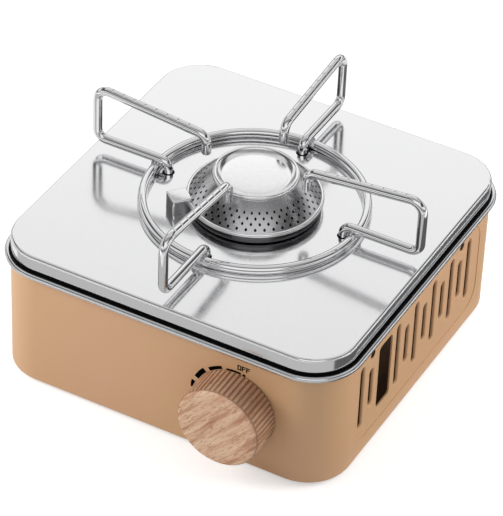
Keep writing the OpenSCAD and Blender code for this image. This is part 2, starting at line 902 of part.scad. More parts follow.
module panel_bush() {
    color([0.15, 0.15, 0.15]) difference() {
        union() {
            rod_y(knob_x, axis_z, front_y - 0.4, front_y + body_t + 1, bush_r);
            rod_y(knob_x, axis_z, front_y + body_t, front_y + body_t + 1, bush_r + 2);
        }
        rod_y(knob_x, axis_z, front_y - 1, front_y + body_t + 2, spindle_d / 2 + 0.2);
    }
}

module piezo_body() {
    color([0.9, 0.9, 0.88]) difference() {
        rod_x(piezo_y, axis_z, piezo_left, piezo_right, piezo_d / 2);
        rod_x(piezo_y, axis_z, plunger_tip - plunger_len - stroke - 1, piezo_right + 1,
            plunger_d / 2 + 0.2);
    }
}

module piezo_plunger() {
    color([0.25, 0.25, 0.27]) {
        rod_x(piezo_y, axis_z, plunger_tip - plunger_len, plunger_tip - tip_d / 2, plunger_d / 2);
        translate([plunger_tip - tip_d / 2, piezo_y, axis_z]) sphere(d = tip_d);
    }
}

module piezo_clip() {
    clip_x = piezo_left + 10;
    clip_w = piezo_d + 0.8;
    color([0.6, 0.61, 0.62]) difference() {
        union() {
            translate([clip_x, piezo_y - clip_w / 2, floor_z])
                cube([1.2, clip_w, axis_z - 2 - floor_z]);
            translate([clip_x - 8, piezo_y - clip_w / 2, floor_z]) cube([8, clip_w, 1.2]);
        }
        rod_x(piezo_y, axis_z, clip_x - 1, clip_x + 3, piezo_d / 2 + fit);
    }
}

// The lead -----------------------------------------------------------------

function unit(v) = v / norm(v);

// A point on the smooth route through the lead's points, at step t of segment i
function route(p, i, t) =
    let (
        last = len(p) - 1,
        a = p[max(i - 1, 0)],
        b = p[i],
        c = p[min(i + 1, last)],
        d = p[min(i + 2, last)]
    )
    0.5 * (2 * b + (c - a) * t + (2 * a - 5 * b + 4 * c - d) * t * t
        + (3 * b - a - 3 * c + d) * t * t * t);

function heading(p, i) = unit(p[min(i + 1, len(p) - 1)] - p[max(i - 1, 0)]);

function lead_ring(p, i) =
    let (t = heading(p, i), u = unit(cross(t, [1, 0, 1])), v = cross(t, u))
    [for (k = [0:lead_sides - 1])
        p[i] + lead_d / 2 * (cos(k * 360 / lead_sides) * u + sin(k * 360 / lead_sides) * v)];

module igniter_lead() {
    n = lead_sides;
    ends = len(lead_points) - 1;
    path = concat(
        [for (i = [0:ends - 1], k = [0:lead_steps - 1]) route(lead_points, i, k / lead_steps)],
        [lead_points[ends]]
    );
    last = len(path) - 1;
    points = [for (i = [0:last]) each lead_ring(path, i)];
    sides = [for (i = [0:last - 1], k = [0:n - 1])
        [i * n + k, i * n + (k + 1) % n, (i + 1) * n + (k + 1) % n, (i + 1) * n + k]];
    start = [for (k = [n - 1:-1:0]) k];
    end = [for (k = [0:n - 1]) last * n + k];
    color([0.75, 0.1, 0.08]) polyhedron(points, concat(sides, [start, end]));
}

module electrode() {
    color([0.93, 0.92, 0.88]) translate([spark_x, spark_y, 0]) {
        translate([0, 0, ceramic_low]) cylinder(h = ceramic_top - ceramic_low, d = ceramic_d);
    }
}

module electrode_tip() {
    color([0.55, 0.55, 0.56]) rotate([0, 0, spark_a]) translate([spark_r, 0, ceramic_top]) {
        cylinder(h = 2.4, d = 1.2);
        translate([0, 0, 1.8]) rotate([0, -90, 0]) cylinder(h = 2.2, d = 1);
    }
}

module spark_shield() {
    wall_h = box_top - box_t / 2 - plate_z;
    color([0.85, 0.85, 0.85]) rotate([0, 0, spark_a]) translate([0, 0, plate_z]) {
        translate([box_in, -box_w / 2, box_top - plate_z - box_t])
            cube([box_out - box_in, box_w, box_t]);
        for (y = [-box_w / 2, box_w / 2 - box_t]) {
            translate([box_wall_in, y, 0]) cube([box_out - box_wall_in, box_t, wall_h]);
        }
        translate([box_out - box_t, -box_w / 2, 0]) cube([box_t, box_w, wall_h]);
    }
}

// Pot support --------------------------------------------------------------

module pot_ring() {
    color([0.85, 0.85, 0.87]) translate([0, 0, ring_z]) rotate_extrude($fn = 96)
        translate([ring_d / 2, 0]) circle(r = wire_r);
}

// A bend in the X-Z plane, from angle a on
module wire_bend(x, z, r, a, turned = 90, thinned = 0) {
    translate([x, 0, z]) rotate([90, 0, 0]) rotate([0, 0, a])
        rotate_extrude(angle = turned) translate([r, 0]) circle(r = wire_r - thinned);
}

module wire_up(x, z0, z1) {
    translate([x, 0, z0]) cylinder(h = z1 - z0, r = wire_r);
}

// One arm, lying along +X: inner leg, top, outer leg, bottom and hook
module pot_arm(a) {
    notch_d = 1.8;
    leg_end = in_z - leg_len;
    notch_from = bend_in + 6;
    color([0.85, 0.85, 0.87]) rotate([0, 0, a]) difference() {
        union() {
            translate([arm_in, 0, leg_end - end_h]) cylinder(h = end_h, r1 = wire_r - end_h, r2 = wire_r);
            wire_up(arm_in, leg_end, in_z - in_len + lap);
            wire_bend(arm_in + bend_in, in_z - in_len, bend_in, 90 + arm_slope, 90 - arm_slope, draw);
            translate([arm_in, 0, in_z]) rotate([0, 90 - arm_slope, 0]) translate([0, 0, in_len - lap])
                cylinder(h = top_len + 2 * lap, r = wire_r);
            wire_bend(arm_out - bend_out, top_z - bend_out, bend_out, 0, 90 + arm_slope, draw);
            wire_up(arm_out, low_z + bend_low, top_z - bend_out + lap);
            wire_bend(arm_out - bend_low, low_z + bend_low, bend_low, 270);
            rod_x(0, low_z, hook_at + bend_hook, arm_out - bend_low, wire_r);
            wire_bend(hook_at + bend_hook, low_z - bend_hook, bend_hook, 90);
            wire_up(hook_at, hook_end, low_z - bend_hook);
        }
        for (i = [0:notch_count - 1]) {
            translate([arm_in, 0, in_z]) rotate([0, -arm_slope, 0])
                translate([notch_from + i * notch_pitch, 0, wire_r + notch_d / 2 - 0.4])
                rotate([90, 0, 0]) cylinder(h = wire_d + 1, d = notch_d, center = true, $fn = 16);
        }
    }
}

body_shell();
base_plate();
base_screws();
foot(-1, -1);  // foot_front_left
foot(1, -1);  // foot_front_right
foot(-1, 1);  // foot_back_left
foot(1, 1);  // foot_back_right
rim_frame();
top_plate();
bracket(-1);  // bracket_left
bracket(1);  // bracket_right
side_screws();
burner_cap();
burner_skirt();
burner_cup();
burner_stem();
burner_screws();
mixing_tube();
gas_jet();
regulator_body();
diaphragm_cover();
regulator_bracket();
regulator_screws();
inlet_nozzle();
canister_socket();
socket_magnets();
heat_shield();
canister_cradle();
port_ring();
knob();
knob_insert();
valve_spindle();
panel_bush();
piezo_body();
piezo_clip();
piezo_plunger();
igniter_lead();
electrode();
electrode_tip();
spark_shield();
pot_ring();
pot_arm(0);  // pot_arm_right
pot_arm(90);  // pot_arm_back
pot_arm(180);  // pot_arm_left
pot_arm(270);  // pot_arm_front
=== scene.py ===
"""Butane cassette stove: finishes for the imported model. The rim, the burner, the hood and the pot
wires are drawn in full, and the welds and the printed scale are added."""

import json
import math

import bmesh
import bpy
from mathutils import Matrix, Vector

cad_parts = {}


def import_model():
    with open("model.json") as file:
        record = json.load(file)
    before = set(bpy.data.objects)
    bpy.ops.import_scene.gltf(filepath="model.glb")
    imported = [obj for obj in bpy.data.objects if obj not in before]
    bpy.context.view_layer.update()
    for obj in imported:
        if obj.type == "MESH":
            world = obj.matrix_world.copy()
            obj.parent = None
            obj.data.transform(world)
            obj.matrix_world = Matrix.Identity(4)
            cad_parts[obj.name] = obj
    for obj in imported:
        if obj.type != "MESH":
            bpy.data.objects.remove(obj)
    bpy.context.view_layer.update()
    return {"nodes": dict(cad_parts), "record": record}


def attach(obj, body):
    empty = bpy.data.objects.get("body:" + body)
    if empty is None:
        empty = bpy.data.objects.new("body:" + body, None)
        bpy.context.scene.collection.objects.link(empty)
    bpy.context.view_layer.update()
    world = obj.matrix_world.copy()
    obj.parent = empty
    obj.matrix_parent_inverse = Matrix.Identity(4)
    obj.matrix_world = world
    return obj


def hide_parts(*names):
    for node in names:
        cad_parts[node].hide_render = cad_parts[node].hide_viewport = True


MM = 0.001

# Sizes are in millimetres and angles in degrees, unless a line says otherwise.

# Body, plate, rolled bead and the channel above it, as (outward, up from the bead's foot)
BODY_W = 213.0
CORNER_R = 26.5
CORNER_STEPS = 14
FRONT_Y = -106.5
PLATE_Z = 90.2
RIM_Z = 76.5
BEAD_D = 3.5
BEAD_OUT = 3.5
BEAD_SIDES = 28
CHANNEL = ((-3.2, 0.0), (0.9, 0.0), (0.9, 0.8), (-2.4, 0.8), (-2.4, 5.4), (-3.2, 5.4))

# Burner cap and skirt, as (radius, height above the plate). The lip and the skirt's rolled edge
# are arcs: centre, radius, first and last angle, steps
DISH_TOP = ((0.0, 20.85), (5.0, 20.84), (10.0, 20.78), (14.0, 20.70), (17.0, 20.60), (18.5, 20.50),
            (18.9, 20.44), (19.3, 20.50), (20.0, 20.86), (20.8, 21.34), (21.7, 21.92))
DISH_LIP = (23.1, 21.5, 1.35, 142, -120, 16)
DISH_UNDER = ((21.9, 20.35), (20.8, 19.95), (19.6, 19.7), (12.0, 19.95), (0.0, 20.05))
DISH_SIDES = 96
SKIRT_LOW = (38.0, 6.9)
SKIRT_TOP = (24.2, 20.0)
SKIRT_BELLY = 0.35
SKIRT_WALL = 0.8
SKIRT_CREASE = 40
SKIRT_LEDGE = ((24.4, 20.15), (22.2, 20.15), (22.2, 19.5), (24.0, 19.5))
SKIRT_EDGE = (37.55, 6.3, 1.35, 0, 337.5, 15)
EDGE_SIDES = 120

# Ports in the skirt. Rows and bands are shares of its slope, from 0 at the foot to 1 at the top,
# and a port's size is turned into such a share and an angle by the slope's length and mean radius
PORTS = 44
PORT_ROWS = 4
PORT_SIDES = 16
PORT_HALF_W = 0.66
PORT_HALF_H = 0.95
PORT_TAPER = 0.35
FIRST_ROW = 0.065
ROW_PITCH = 0.165
PLAIN_BANDS = (0.80, 0.87, 0.94, 1.0)
SLOPE_LENGTH = 19.0
SLOPE_MEAN_R = 31.0

# Hood over the electrode, with its middle that far above the plate. Faces of more than HOOD_FLAT
# square millimetres are its flat sides
HOOD_X = -34.3
HOOD_Y = -25.8
HOOD_TURN = 50.0
HOOD_W = 11.6
HOOD_H = 9.2
HOOD_MIDDLE = 4.7
HOOD_ROUND = 0.9
HOOD_FLAT = 40.0

# Pot wires: the ring, and the four arms, each drawn once in its own plane
RING_R = 63.25
RING_Z = 93.0
RING_STEPS = 120
WIRE_R = 2.75
WIRE_SIDES = 24
BEND_STEPS = 9
LOW_WIRE_Z = 97.35
ARM_IN = 32.0
ARM_OUT = 103.0
ARM_IN_Z = 124.8
ARM_OUT_Z = 131.8
LEG_LENGTH = 11.5
HOOK_AT = 56.0
HOOK_END_Z = 84.7
INNER_BEND = 6.2
OUTER_BEND = 7.5
LOW_BEND = 6.0
HOOK_BEND = 5.0
# A wire's rounded end, as (depth from the tip, share of the full thickness)
WIRE_TIP = ((0.0, 0.45), (0.12, 0.66), (0.45, 0.86), (0.95, 0.97), (1.5, 1.0))

# Notches along the top of an arm, and the rows of points that each one needs. All of that top
# lies more than ABOVE_LOW_WIRE over the arm's bottom wire
NOTCHES = 8
NOTCH_FROM = 11.5
NOTCH_PITCH = 7.1
NOTCH_DEPTH = 0.4
NOTCH_HALF = 0.35
NOTCH_ROWS = (-0.7, -0.5, -0.3, 0.0, 0.3, 0.5, 0.7)
ABOVE_LOW_WIRE = 8.0

# Welds at one crossing, as (outward from the ring, across the arm, height)
WELD_SPOTS = ((-1.3, 2.5, 95.2), (1.1, 2.4, 95.0), (-1.2, -2.5, 95.2), (1.3, -2.3, 95.1),
              (-2.6, 1.3, 95.0), (-2.7, -1.1, 94.9))
WELD_R = 1.35
WELD_LUMP = 0.7

# Knob: its axis, its grain, and the radii in metres over which the colour of its face turns into
# the painted shade of its side, and a flute's darker painted shade into a ridge's
KNOB_X = 48.5
AXIS_Z = 40.0
GRAIN_TURN = 48
SIDE_EDGE = (0.0240, 0.0246)
FLUTE_TO_RIDGE = (0.02455, 0.0249)

# Printed scale, placed from the knob's axis. A dash is its two angles, its radius and its width
# at both ends; a letter is its strokes, in units of LETTER_UNIT
INK_OUT = 0.06
DASHES = ((104, 84, 25.2, 1.3, 1.3), (130, 110, 26.0, 2.3, 2.0), (156, 137, 26.6, 2.8, 3.0),
          (174, 163, 27.4, 1.2, 2.4))
DASH_STEPS = 10
DOT_AT = (4.6, 24.7)
DOT_R = 0.9
DOT_SIDES = 16
LETTERS = {
    "O": [[(0, 0), (1, 0), (1, 1.5), (0, 1.5), (0, 0)]],
    "F": [[(0, 0), (0, 1.5), (1, 1.5)], [(0, 0.8), (0.8, 0.8)]],
}
OFF_MARK = (("O", 0.8), ("F", 3.5), ("F", 6.1))
LETTER_UNIT = (1.7, 1.85)
LETTER_FOOT = 27.5
LETTER_STROKE = 0.7

# Viewpoint: bearing, height and roll, then the distance, the target and the lens
VIEW_BEARING = 27.39
VIEW_HEIGHT = 38.44
VIEW_ROLL = 2.50
VIEW_DISTANCE = 1882.5
VIEW_TARGET = (-28.93, 54.60, 1.96)
LENS = 221.13
SENSOR = 36.0

# Lamps: place, aim and size in metres, power in watts
LAMPS = (("left_light", (-0.50, -0.42, 0.40), (0, -0.05, 0.05), (0.36, 0.36), 3.15),
         ("right_light", (0.78, 0.42, 0.50), (0, 0, 0.05), (0.5, 0.5), 5.4),
         ("back_light", (-0.3, 1.1, 0.9), (0, 0, 0.08), (1.2, 0.6), 4.0))

# The tent that the steel mirrors, from the horizon behind (0) over the top to the one in front (1)
TENT_BACK = (-0.46, 0.888, 0.0)
TENT_SIDE = (0.888, 0.46, 0.0)
TENT_BANDS = ((0.0, 0.12), (0.05, 0.30), (0.10, 0.92), (0.16, 1.0), (0.195, 1.0), (0.225, 0.81),
              (0.26, 0.64), (0.38, 0.62), (0.46, 0.68), (0.53, 0.32), (0.64, 0.26), (0.71, 0.92),
              (0.86, 1.0), (0.93, 0.42), (1.0, 0.16))
# A dark gap low on either side of it: the edges over which it fades, and how dark it is
GAP_SIDE = (0.34, 0.50)
GAP_FOOT = (0.36, 0.44)
GAP_TOP = (0.66, 0.72)
GAP_DARK = 0.88
# How strongly the world lights what isn't a mirror
MATT_LEVEL = 0.50

# Floor, and the grey cards on it: two corners in metres and a shade
FLOOR_HALF = 3.0
FLOOR_GLOW = 0.45
CARD_Z = 0.0004
CARDS = (("front_card", (-0.6, -0.26), (0.6, -0.112), 0.50),
         ("right_card", (0.112, -0.112), (0.29, 0.60), 0.11))


# Colour and node helpers ------------------------------------------------------


def linear(red, green, blue):
    """A colour given as it looks on a screen, from 0 to 255, as the shader wants it."""
    def channel(c):
        c /= 255.0
        return c / 12.92 if c <= 0.04045 else ((c + 0.055) / 1.055) ** 2.4
    return (channel(red), channel(green), channel(blue), 1.0)


class Nodes:
    """Short calls to build a node tree. A value is a number, a tuple or another node's output."""

    def __init__(self, tree):
        self.tree = tree

    def node(self, kind, **settings):
        new = self.tree.nodes.new(kind)
        for key, value in settings.items():
            setattr(new, key, value)
        return new

    def link(self, source, target):
        self.tree.links.new(source, target)

    def feed(self, node, inputs):
        """Sets or links the node's inputs, given by name or number."""
        for key, value in inputs.items():
            if isinstance(value, bpy.types.NodeSocket):
                self.link(value, node.inputs[key])
            else:
                node.inputs[key].default_value = value

    def result(self, kind, output, inputs, **settings):
        """Adds a node, feeds it and gives one of its outputs."""
        new = self.node(kind, **settings)
        self.feed(new, inputs)
        return new.outputs[output]

    def math(self, operation, *values):
        return self.result("ShaderNodeMath", 0, dict(enumerate(values)), operation=operation)

    def mix(self, share, first, second):
        """Blends two colours, by the sockets that the node keeps for colours."""
        return self.result("ShaderNodeMix", 2, {"Factor": share, 6: first, 7: second},
                           data_type="RGBA")

    def ramp(self, value, stops):
        ramp = self.node("ShaderNodeValToRGB")
        elements = ramp.color_ramp.elements
        while len(elements) < len(stops):
            elements.new(0.5)
        for element, (place, colour) in zip(elements, stops):
            element.position = place
            element.color = colour
        self.link(value, ramp.inputs["Fac"])
        return ramp.outputs["Color"]

    def remap(self, value, low, high, new_low=0.0, new_high=1.0, **settings):
        return self.result("ShaderNodeMapRange", "Result", {
            "Value": value, "From Min": low, "From Max": high,
            "To Min": new_low, "To Max": new_high}, **settings)


class Finish(Nodes):
    """A material under construction, with short calls for what the finishes share."""

    def __init__(self, name, colour, metallic=0.0, roughness=0.5):
        self.material = bpy.data.materials.new(name)
        self.material.use_nodes = True
        super().__init__(self.material.node_tree)
        self.shader = self.tree.nodes["Principled BSDF"]
        self.feed(self.shader, {"Base Color": colour, "Metallic": metallic,
                                "Roughness": roughness})

    def place(self, scale=(1, 1, 1), turn=(0, 0, 0), shift=(0, 0, 0)):
        """Object coordinates, turned first and then scaled and shifted."""
        coord = self.node("ShaderNodeTexCoord").outputs["Object"]
        turned = self.result("ShaderNodeMapping", "Vector", {"Vector": coord, "Rotation": turn})
        return self.result("ShaderNodeMapping", "Vector", {
            "Vector": turned, "Scale": scale, "Location": shift})

    def noise(self, vector, scale, detail=3.0, roughness=0.5, distortion=0.0):
        return self.result("ShaderNodeTexNoise", "Fac", {
            "Vector": vector, "Scale": scale, "Detail": detail, "Roughness": roughness,
            "Distortion": distortion})

    def bump(self, height, strength, distance):
        normal = self.result("ShaderNodeBump", "Normal", {
            "Height": height, "Strength": strength, "Distance": distance})
        self.feed(self.shader, {"Normal": normal})

    def surface(self, shader):
        """Puts another shader in the place of the first one."""
        self.feed(self.tree.nodes["Material Output"], {"Surface": shader})


# Finishes ---------------------------------------------------------------------


def enamel():
    """Powder coat on the body: sand colour, faintly mottled, with a fine orange peel."""
    finish = Finish("body_enamel", linear(203, 160, 122), roughness=0.42)
    broad = finish.noise(finish.place(), 9.0, 2.0)
    mottle = finish.ramp(broad, [(0.3, linear(205, 161, 126)), (0.7, linear(201, 160, 118))])
    peel = finish.noise(finish.place(), 900.0, 2.0)
    gloss = finish.remap(peel, 0.2, 0.8, 0.38, 0.48)
    finish.feed(finish.shader, {"Base Color": mottle, "Roughness": gloss})
    finish.bump(peel, 0.06, 0.0004)
    return finish.material


def brushed(name, colour, roughness, grain=0.06, fine=(500, 4200, 4200)):
    """Brushed stainless sheet: fine short scratches that vary the gloss and the tone."""
    finish = Finish(name, colour, metallic=1.0, roughness=roughness)
    scratch = finish.noise(finish.place(fine), 1.0, 4.0, 0.65)
    cloud = finish.noise(finish.place(), 11.0, 3.0)
    gloss = finish.math("ADD",
                        finish.remap(scratch, 0.3, 0.7, roughness - grain, roughness + grain),
                        finish.remap(cloud, 0.3, 0.7, -0.015, 0.015))
    dark = tuple(c * 0.94 for c in colour[:3]) + (1.0,)
    tone = finish.mix(finish.remap(scratch, 0.35, 0.65), dark, colour)
    finish.feed(finish.shader, {"Base Color": tone, "Roughness": gloss})
    finish.bump(scratch, 0.03, 0.0001)
    return finish.material


def polished(name, colour, roughness=0.07):
    """Polished wire and rim: bright, with faint drawing marks."""
    finish = Finish(name, colour, metallic=1.0, roughness=roughness)
    marks = finish.noise(finish.place((900, 900, 900)), 1.0, 2.0)
    gloss = finish.remap(marks, 0.3, 0.7, roughness * 0.7, roughness * 1.5)
    finish.feed(finish.shader, {"Roughness": gloss})
    finish.bump(marks, 0.02, 0.0001)
    return finish.material


def cast(name, colour, roughness=0.45):
    """Die-cast metal with a fine grain."""
    finish = Finish(name, colour, metallic=0.9, roughness=roughness)
    grain = finish.noise(finish.place(), 1400.0, 3.0)
    gloss = finish.remap(grain, 0.2, 0.8, roughness - 0.08, roughness + 0.08)
    finish.feed(finish.shader, {"Roughness": gloss})
    finish.bump(grain, 0.15, 0.0002)
    return finish.material


def moulded(name, colour, roughness=0.4):
    """Moulded plastic, rubber or paint with a fine even texture."""
    finish = Finish(name, colour, roughness=roughness)
    fine = finish.noise(finish.place(), 1200.0, 2.0)
    broad = finish.noise(finish.place(), 30.0, 2.0)
    dark = tuple(c * 0.85 for c in colour[:3]) + (1.0,)
    tone = finish.mix(finish.remap(broad, 0.3, 0.7), dark, colour)
    gloss = finish.remap(fine, 0.2, 0.8, roughness - 0.06, roughness + 0.06)
    finish.feed(finish.shader, {"Base Color": tone, "Roughness": gloss})
    finish.bump(fine, 0.08, 0.0002)
    return finish.material


def scale_ink():
    """Dull black print that hardly mirrors."""
    ink = moulded("scale_ink", linear(4, 4, 4), 0.9)
    ink.node_tree.nodes["Principled BSDF"].inputs["Specular IOR Level"].default_value = 0.02
    return ink


def knob_wood():
    """Pinkish wood: long streaks along the grain with short dark pores, and painted shade round the
    fluted side.
    """
    finish = Finish("knob_wood", linear(214, 172, 143), roughness=0.5)
    turn = (0, math.radians(GRAIN_TURN), 0)
    streaks = finish.noise(finish.place((30, 30, 330), turn), 1.0, 5.0, 0.62, 0.4)
    broad = finish.noise(finish.place((14, 14, 60), turn, (0.3, 0.1, 0.2)), 1.0, 2.0, 0.5, 0.8)
    pores = finish.noise(finish.place((190, 190, 1350), turn), 1.0, 3.0, 0.7)
    tone = finish.ramp(streaks, [
        (0.32, linear(164, 110, 84)), (0.43, linear(190, 142, 110)),
        (0.52, linear(214, 176, 144)), (0.70, linear(230, 200, 170)),
    ])
    wash = finish.mix(finish.remap(broad, 0.35, 0.65, 0.0, 0.45), tone, linear(218, 176, 146))
    fleck = finish.remap(pores, 0.37, 0.45, 0.75, 0.0)
    face = finish.mix(fleck, wash, linear(160, 108, 84))
    # Painted shade round the fluted side, darkest down in the flutes
    split = finish.node("ShaderNodeSeparateXYZ")
    finish.link(finish.place(shift=(-KNOB_X * MM, 0, -AXIS_Z * MM)), split.inputs["Vector"])
    across = finish.math("POWER", split.outputs["X"], 2.0)
    upright = finish.math("POWER", split.outputs["Z"], 2.0)
    radius = finish.math("SQRT", finish.math("ADD", across, upright))
    ridge = finish.mix(0.55, face, linear(170, 128, 98))
    side = finish.mix(finish.remap(radius, *FLUTE_TO_RIDGE, 0.75, 0.0), ridge,
                      linear(120, 86, 62))
    wood = finish.mix(finish.remap(radius, *SIDE_EDGE), face, side)
    gloss = finish.remap(pores, 0.2, 0.8, 0.62, 0.44)
    finish.feed(finish.shader, {"Base Color": wood, "Roughness": gloss})
    finish.bump(finish.math("ADD", streaks, finish.math("MULTIPLY", pores, 0.7)), 0.35, 0.0003)
    return finish.material


def make_finishes():
    """The finishes by name: one for each slot of the CAD, and those of the pieces drawn here."""
    fine, middling, coarse = (900, 900, 900), (700, 700, 700), (500, 500, 500)
    return {
        "body_paint": enamel(),
        "top_steel": brushed("plate_steel", linear(249, 249, 250), 0.12, 0.03),
        "rim_steel": polished("rim_steel", linear(226, 227, 229), 0.10),
        "burner_steel": brushed("burner_steel", linear(200, 200, 202), 0.24, 0.05, fine),
        "dish_steel": brushed("dish_steel", linear(254, 254, 254), 0.17, 0.03, coarse),
        # The cup's steel, darkened as painted shade under the skirt's rolled edge
        "cup_steel": brushed("cup_steel", linear(92, 92, 94), 0.22, 0.05, middling),
        # Black for the skirt's inner side: painted shade inside the burner
        "burner_soot": moulded("burner_soot", linear(12, 12, 12), 0.8),
        "sheet_steel": brushed("sheet_steel", linear(160, 158, 155), 0.42, 0.06, coarse),
        # Brown paint for the inner sheets, darkened as painted shade for the view through the vents
        "shield_paint": moulded("shield_paint", linear(122, 88, 58), 0.7),
        # Black for the channel under the plate's edge: painted shade in the gap
        "channel_black": moulded("channel_black", linear(16, 16, 17), 0.6),
        # A darker copy of the hood's steel for its upright sides: painted shade
        "hood_shade": brushed("hood_shade", linear(186, 186, 188), 0.30, 0.04, fine),
        "hood_steel": brushed("hood_steel", linear(250, 250, 250), 0.14, 0.03, fine),
        "weld_steel": polished("weld_steel", linear(196, 196, 200), 0.14),
        "cast_metal": cast("cast_metal", linear(178, 180, 183)),
        "brass": cast("brass", linear(204, 168, 92), 0.28),
        "screw_steel": polished("screw_steel", linear(186, 187, 190), 0.25),
        "dark_screw": cast("dark_screw", linear(74, 52, 36), 0.5),
        "foot_rubber": moulded("foot_rubber", linear(34, 34, 34), 0.75),
        "knob_wood": knob_wood(),
        "black_plastic": moulded("black_plastic", linear(38, 38, 38), 0.5),
        "piezo_plastic": moulded("piezo_plastic", linear(232, 230, 222), 0.35),
        "lead_rubber": moulded("lead_rubber", linear(188, 34, 26), 0.45),
        "ceramic": moulded("ceramic", linear(240, 236, 226), 0.18),
        "wire_steel": polished("wire_steel", linear(240, 240, 241), 0.05),
        "magnet": cast("magnet", linear(120, 121, 124), 0.35),
    }


# The CAD nodes whose finish isn't the one of their slot
NODE_FINISH = {
    # The cup gets the darkened steel: painted shade under the skirt
    "burner_cup": "cup_steel",
    # The inner sheets get brown paint, darkened as painted shade
    "heat_shield": "shield_paint",
    "base_plate": "shield_paint",
    "bracket_left": "shield_paint",
    "bracket_right": "shield_paint",
}


def dress(frame, finishes):
    """Gives every CAD node its own finish, or the one of its slot."""
    slots = {s["node"]: s["material_slot"] for s in frame["record"]["subparts"]}
    for name, piece in frame["nodes"].items():
        piece.data.materials.clear()
        piece.data.materials.append(finishes[NODE_FINISH.get(name, slots[name])])


# Camera, light and floor ------------------------------------------------------


def point_camera():
    """Sets the camera by its bearing, height and roll round the target."""
    bearing, height, roll = (math.radians(a) for a in (VIEW_BEARING, VIEW_HEIGHT, VIEW_ROLL))
    back = Vector((math.sin(bearing) * math.cos(height), -math.cos(bearing) * math.cos(height),
                   math.sin(height)))
    right = Vector((math.cos(bearing), math.sin(bearing), 0.0))
    up = back.cross(right)
    side = right * math.cos(roll) + up * math.sin(roll)
    head = up * math.cos(roll) - right * math.sin(roll)
    place = Vector(VIEW_TARGET) * MM + back * VIEW_DISTANCE * MM
    camera = bpy.data.objects.new("camera", bpy.data.cameras.new("camera"))
    bpy.context.scene.collection.objects.link(camera)
    camera.matrix_world = Matrix((
        (side.x, head.x, back.x, place.x),
        (side.y, head.y, back.y, place.y),
        (side.z, head.z, back.z, place.z),
        (0.0, 0.0, 0.0, 1.0),
    ))
    camera.data.sensor_fit = "VERTICAL"
    camera.data.sensor_height = SENSOR
    camera.data.lens = LENS
    camera.data.clip_start = 0.05
    camera.data.clip_end = 20.0
    bpy.context.scene.camera = camera


def area_light(name, place, aim, size, watts):
    light = bpy.data.lights.new(name, "AREA")
    light.shape = "RECTANGLE"
    light.size, light.size_y = size
    light.energy = watts
    holder = bpy.data.objects.new(name, light)
    holder.location = place
    holder.rotation_euler = (Vector(aim) - Vector(place)).to_track_quat("-Z", "Y").to_euler()
    holder.visible_glossy = False
    bpy.context.scene.collection.objects.link(holder)


def studio():
    """Lamps, and a world that looks white to the camera and like a banded tent to mirrors."""
    for lamp in LAMPS:
        area_light(*lamp)
    world = bpy.data.worlds.new("studio")
    bpy.context.scene.world = world
    world.use_nodes = True
    nodes = Nodes(world.node_tree)
    path = nodes.node("ShaderNodeLightPath").outputs
    coord = nodes.node("ShaderNodeTexCoord").outputs["Generated"]

    def part_of(direction):
        return nodes.result("ShaderNodeVectorMath", "Value", {0: coord, 1: direction},
                            operation="DOT_PRODUCT")

    def step(value, low, high):
        return nodes.remap(value, low, high, interpolation_type="SMOOTHSTEP")

    # Bands of the tent by height, and a dark gap low on either side
    height = part_of((0.0, 0.0, 1.0))
    round_over = nodes.math("DIVIDE", nodes.math("ARCTAN2", height, part_of(TENT_BACK)), math.pi)
    bands = nodes.ramp(round_over, [(place, (level, level, level, 1.0))
                                    for place, level in TENT_BANDS])
    beside = step(nodes.math("ABSOLUTE", part_of(TENT_SIDE)), *GAP_SIDE)
    below = nodes.math("SUBTRACT", 1.0, step(height, *GAP_TOP))
    gap = nodes.math("MULTIPLY", nodes.math("MULTIPLY", beside, below), step(height, *GAP_FOOT))
    mirrored = nodes.math("MULTIPLY", bands,
                          nodes.math("SUBTRACT", 1.0, nodes.math("MULTIPLY", gap, GAP_DARK)))
    # The camera sees plain white, mirrors see the tent and the rest is lit evenly
    lit = nodes.math("MULTIPLY", mirrored, path["Is Glossy Ray"])
    seen = nodes.math("MAXIMUM", path["Is Camera Ray"], path["Is Transmission Ray"])
    matt = nodes.math("SUBTRACT", 1.0, nodes.math("MAXIMUM", seen, path["Is Glossy Ray"]))
    level = nodes.math("ADD", nodes.math("ADD", lit, seen),
                       nodes.math("MULTIPLY", matt, MATT_LEVEL))
    nodes.feed(nodes.tree.nodes["Background"], {"Color": (1, 1, 1, 1), "Strength": level})


def level_sheet(name, low, high, z):
    """A flat sheet that faces up, between two corners in metres."""
    (x0, y0), (x1, y1) = low, high
    mesh = bpy.data.meshes.new(name)
    mesh.from_pydata([(x0, y0, z), (x1, y0, z), (x1, y1, z), (x0, y1, z)], [], [(0, 1, 2, 3)])
    return new_piece(name, mesh)


def floor():
    """A white table. Its glow shows to the camera and through clear parts, but lights nothing."""
    table = level_sheet("floor", (-FLOOR_HALF, -FLOOR_HALF), (FLOOR_HALF, FLOOR_HALF), 0)
    finish = Finish("floor", (0.8, 0.8, 0.8, 1), roughness=0.9)
    finish.feed(finish.shader, {"Specular IOR Level": 0.0})
    path = finish.node("ShaderNodeLightPath").outputs
    seen = finish.math("MAXIMUM", path["Is Camera Ray"], path["Is Transmission Ray"])
    glow = finish.result("ShaderNodeEmission", 0, {
        "Strength": finish.math("MULTIPLY", seen, FLOOR_GLOW)})
    finish.surface(finish.result("ShaderNodeAddShader", 0, {0: finish.shader.outputs[0], 1: glow}))
    table.data.materials.append(finish.material)


def reflector(name, low, high, shade):
    """A grey card flat on the table beside the stove, which only mirrors can see."""
    card = level_sheet(name, low, high, CARD_Z)
    finish = Finish(name, (shade, shade, shade, 1))
    finish.tree.nodes.remove(finish.shader)
    finish.surface(finish.result("ShaderNodeEmission", 0, {"Color": (shade, shade, shade, 1)}))
    card.data.materials.append(finish.material)
    card.visible_camera = False
    card.visible_diffuse = False
    card.visible_shadow = False
    card.visible_transmission = False


